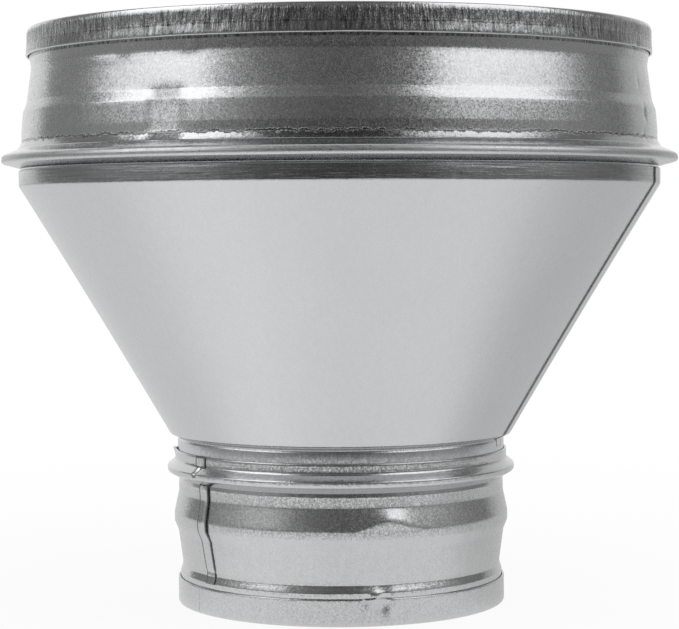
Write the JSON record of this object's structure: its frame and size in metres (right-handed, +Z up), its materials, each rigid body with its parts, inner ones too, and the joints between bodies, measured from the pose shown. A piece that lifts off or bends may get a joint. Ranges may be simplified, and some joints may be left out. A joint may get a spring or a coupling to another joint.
{
  "type": "duct reducer",
  "caption": "Round ventilation duct reducer in galvanised sheet: a wide spigot and a narrow spigot with folded hems and stop beads, joined by a straight cone.",
  "frame": {"origin": "centre of the lower edge, where the small collar's hem stands", "axes": "+Z up the axis of the duct, from the small spigot to the large one; -Y faces the viewer of the picture"},
  "size_m": [0.1572, 0.1572, 0.1332],
  "materials": {
    "collar_sheet": "bright hot-dip galvanised, fine grain",
    "cone_sheet": "smooth dull galvanised",
    "small_collar_sheet": "bright hot-dip galvanised, fine grain"
  },
  "bodies": {
    "root": {"large_collar": "collar_sheet", "cone": "cone_sheet", "small_collar": "small_collar_sheet"}
  },
  "joints": []
}
